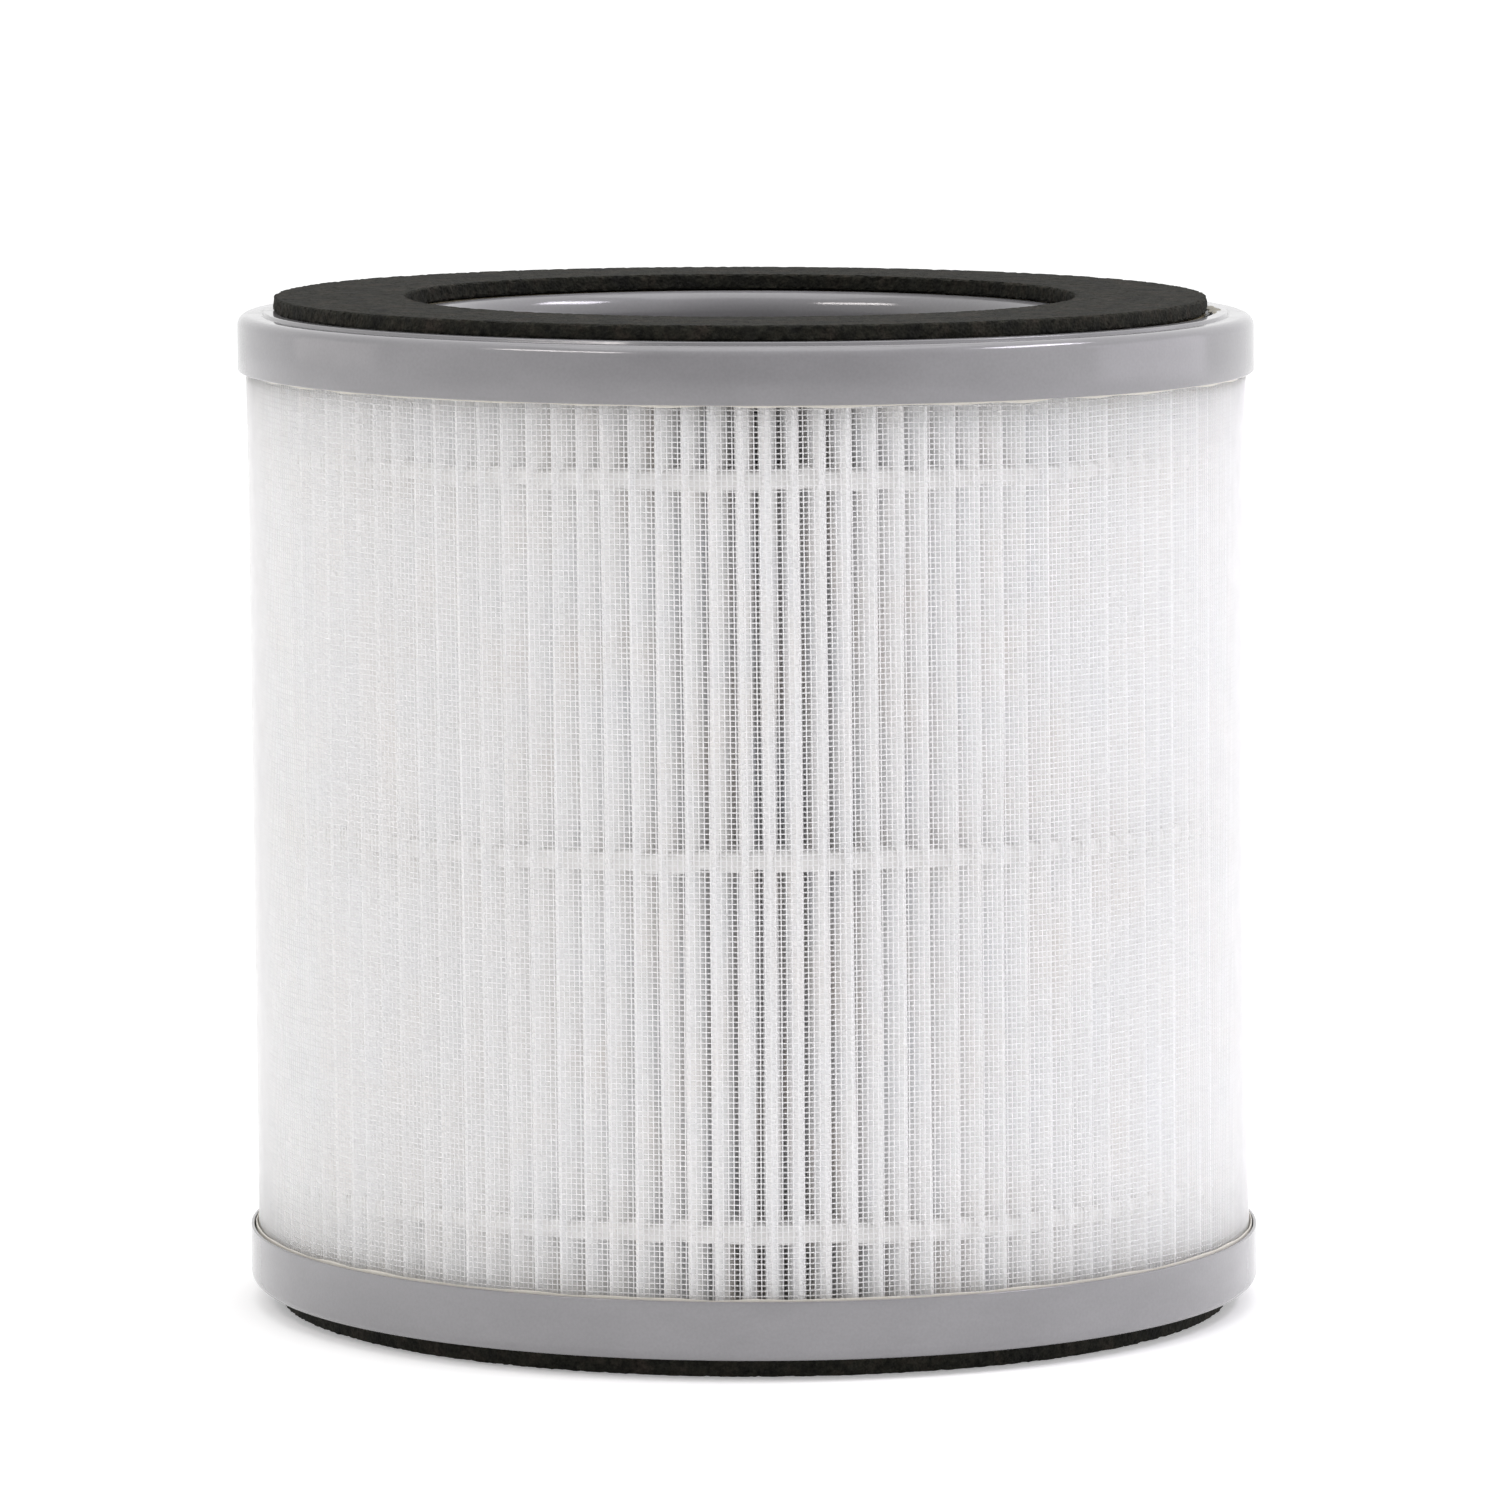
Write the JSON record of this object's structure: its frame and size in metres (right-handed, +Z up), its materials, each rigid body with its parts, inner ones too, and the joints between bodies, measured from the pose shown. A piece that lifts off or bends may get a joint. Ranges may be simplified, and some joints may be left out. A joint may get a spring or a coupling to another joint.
{
  "type": "air purifier filter cartridge",
  "caption": "Round air purifier filter cartridge: pleated paper under a white net, grey plastic end caps, black foam sealing rings and an open bore for the air",
  "frame": {"origin": "centre of the lower foam gasket's sealing face, at the foot of the cartridge", "axes": "+Z up along the cartridge's axis; +Y towards the rear, where the net's seam is; +X to the right seen from the front"},
  "size_m": [0.1764, 0.1764, 0.1758],
  "materials": {
    "cap_plastic": "grey moulded plastic, satin",
    "gasket_foam": "black closed-cell foam, matte and finely pored",
    "adhesive_tape": "yellowish transfer adhesive",
    "hot_melt": "cream hot-melt glue, soft sheen",
    "filter_paper": "white fibrous filter paper",
    "white_net": "fine white woven plastic net",
    "black_net": "black plastic net",
    "carbon_granules": "black carbon granules",
    "core_plastic": "dark grey moulded plastic"
  },
  "bodies": {
    "root": {"top_end_cap": "cap_plastic", "bottom_end_cap": "cap_plastic", "top_foam_gasket": "gasket_foam", "bottom_foam_gasket": "gasket_foam", "top_gasket_tape": "adhesive_tape", "bottom_gasket_tape": "adhesive_tape", "top_potting": "hot_melt", "bottom_potting": "hot_melt", "pleated_media": "filter_paper", "media_seam_strip": "filter_paper", "outer_glue_bead_upper": "hot_melt", "outer_glue_bead_middle": "hot_melt", "outer_glue_bead_lower": "hot_melt", "inner_glue_bead_upper": "hot_melt", "inner_glue_bead_middle": "hot_melt", "inner_glue_bead_lower": "hot_melt", "outer_net_sleeve": "white_net", "outer_net_seam": "white_net", "carbon_outer_net": "black_net", "carbon_inner_net": "black_net", "carbon_bed": "carbon_granules", "core_grid": "core_plastic"}
  },
  "joints": []
}
